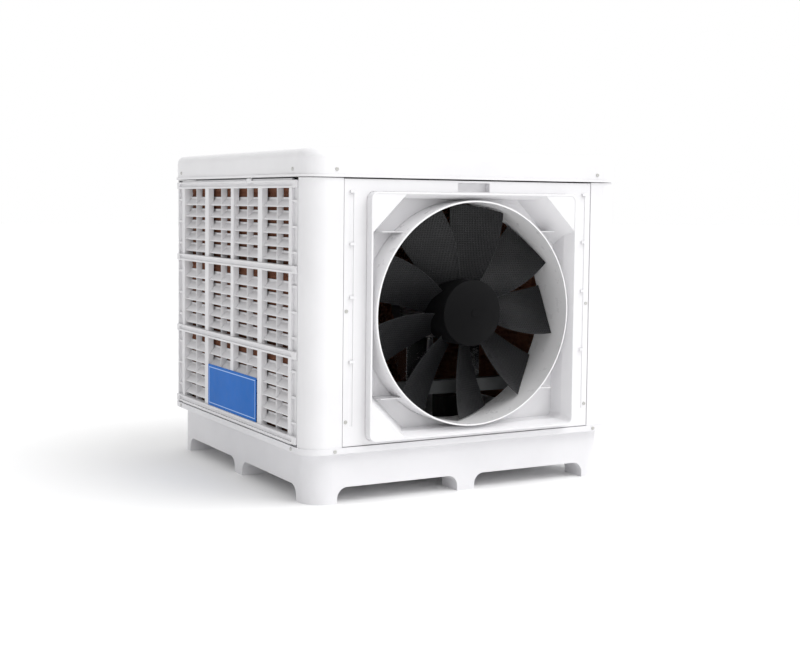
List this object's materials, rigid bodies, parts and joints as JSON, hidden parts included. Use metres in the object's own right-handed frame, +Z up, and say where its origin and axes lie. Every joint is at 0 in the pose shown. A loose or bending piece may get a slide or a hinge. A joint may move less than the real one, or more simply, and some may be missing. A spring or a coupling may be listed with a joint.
{
  "type": "evaporative cooler",
  "caption": "Side-discharge evaporative air cooler: square white cabinet with ducted axial fan, three removable louvre panels with wet pads, water tank base with fork ways and a rounded cover",
  "frame": {"origin": "on the floor, at the middle of the underside of the centre foot, under the middle of the cabinet", "axes": "+Z up, the fan discharges towards -Y, the plated louvre panel faces -X"},
  "size_m": [1.1, 1.122, 1.01],
  "materials": {
    "casing_plastic": "satin white moulding",
    "duct_plastic": "satin white moulding",
    "base_plastic": "satin white moulding",
    "louvre_plastic": "satin white moulding",
    "fan_plastic": "dimpled black",
    "pad_cellulose": "fluted cellulose",
    "plate_blue": "printed sheet",
    "screw_steel": "zinc",
    "shaft_steel": "ground",
    "motor_aluminium": "cast",
    "motor_core": "laminated",
    "cowl_paint": "satin",
    "bracket_steel": "polished stainless",
    "beam_paint": "satin",
    "pipe_plastic": "grey tube",
    "pump_plastic": "moulded black",
    "valve_brass": "machined",
    "float_plastic": "moulded orange",
    "handle_plastic": "red grip",
    "box_plastic": "grey box",
    "gland_plastic": "black nylon"
  },
  "bodies": {
    "casing": {"base_tank": "base_plastic", "tank_floor": "base_plastic", "tank_feet": "base_plastic", "front_left_column": "casing_plastic", "front_right_column": "casing_plastic", "rear_left_column": "casing_plastic", "rear_right_column": "casing_plastic", "fan_panel": "casing_plastic", "outlet_frame": "casing_plastic", "fan_duct": "duct_plastic", "top_cover": "casing_plastic", "casing_screws": "screw_steel", "motor_housing": "motor_aluminium", "motor_bells": "motor_aluminium", "motor_stator": "motor_core", "motor_bearings": "shaft_steel", "motor_cowl": "cowl_paint", "motor_beam": "beam_paint", "motor_bracket": "bracket_steel", "motor_bolts": "screw_steel", "water_headers": "pipe_plastic", "riser_pipe": "pipe_plastic", "pump_housing": "pump_plastic", "pump_strainer": "pump_plastic", "float_valve_body": "valve_brass", "drain_valve_body": "valve_brass", "overflow_pipe": "pipe_plastic", "control_box": "box_plastic", "control_box_lid": "box_plastic", "cable_gland": "gland_plastic"},
    "fan": {"fan_hub": "fan_plastic", "hub_cap": "fan_plastic", "fan_blade_1": "fan_plastic", "fan_blade_2": "fan_plastic", "fan_blade_3": "fan_plastic", "fan_blade_4": "fan_plastic", "fan_blade_5": "fan_plastic", "fan_blade_6": "fan_plastic", "fan_blade_7": "fan_plastic", "fan_blade_8": "fan_plastic", "fan_blade_9": "fan_plastic", "motor_shaft": "shaft_steel", "motor_rotor": "motor_core"},
    "pump_rotor": {"pump_impeller": "pump_plastic"},
    "float": {"float_arm": "valve_brass", "float_ball": "float_plastic"},
    "drain_handle": {"drain_valve_handle": "handle_plastic"},
    "left_panel": {"louvre_panel_left": "louvre_plastic", "pad_tray_left": "louvre_plastic", "cooling_pad_left": "pad_cellulose", "name_plate": "plate_blue"},
    "right_panel": {"louvre_panel_right": "louvre_plastic", "pad_tray_right": "louvre_plastic", "cooling_pad_right": "pad_cellulose"},
    "rear_panel": {"louvre_panel_rear": "louvre_plastic", "pad_tray_rear": "louvre_plastic", "cooling_pad_rear": "pad_cellulose"},
    "left_catch": {"panel_catch_left": "louvre_plastic"},
    "right_catch": {"panel_catch_right": "louvre_plastic"},
    "rear_catch": {"panel_catch_rear": "louvre_plastic"}
  },
  "joints": [
    {"name": "fan_spin", "type": "hinge", "parent": "casing", "child": "fan", "pos_m": [0, -0.5, 0.535], "axis": [0, 1, 0], "continuous": true},
    {"name": "pump_spin", "type": "hinge", "parent": "casing", "child": "pump_rotor", "pos_m": [0.3, 0.08, 0.08], "axis": [0, 0, 1], "continuous": true},
    {"name": "float_swing", "type": "hinge", "parent": "casing", "child": "float", "pos_m": [-0.33, 0.4775, 0.128], "axis": [1, 0, 0], "range_deg": [0, 12]},
    {"name": "drain_turn", "type": "hinge", "parent": "casing", "child": "drain_handle", "pos_m": [0.3, 0.528, 0.1], "axis": [0, 0, 1], "range_deg": [0, 90]},
    {"name": "left_panel_slide", "type": "slide", "parent": "casing", "child": "left_panel", "axis": [-1, 0, 0], "range_m": [0, 0.22]},
    {"name": "right_panel_slide", "type": "slide", "parent": "casing", "child": "right_panel", "axis": [1, 0, 0], "range_m": [0, 0.22]},
    {"name": "rear_panel_slide", "type": "slide", "parent": "casing", "child": "rear_panel", "axis": [0, 1, 0], "range_m": [0, 0.22]},
    {"name": "left_catch_slide", "type": "slide", "parent": "left_panel", "child": "left_catch", "axis": [0, 0, -1], "range_m": [0, 0.005]},
    {"name": "right_catch_slide", "type": "slide", "parent": "right_panel", "child": "right_catch", "axis": [0, 0, -1], "range_m": [0, 0.005]},
    {"name": "rear_catch_slide", "type": "slide", "parent": "rear_panel", "child": "rear_catch", "axis": [0, 0, -1], "range_m": [0, 0.005]}
  ]
}
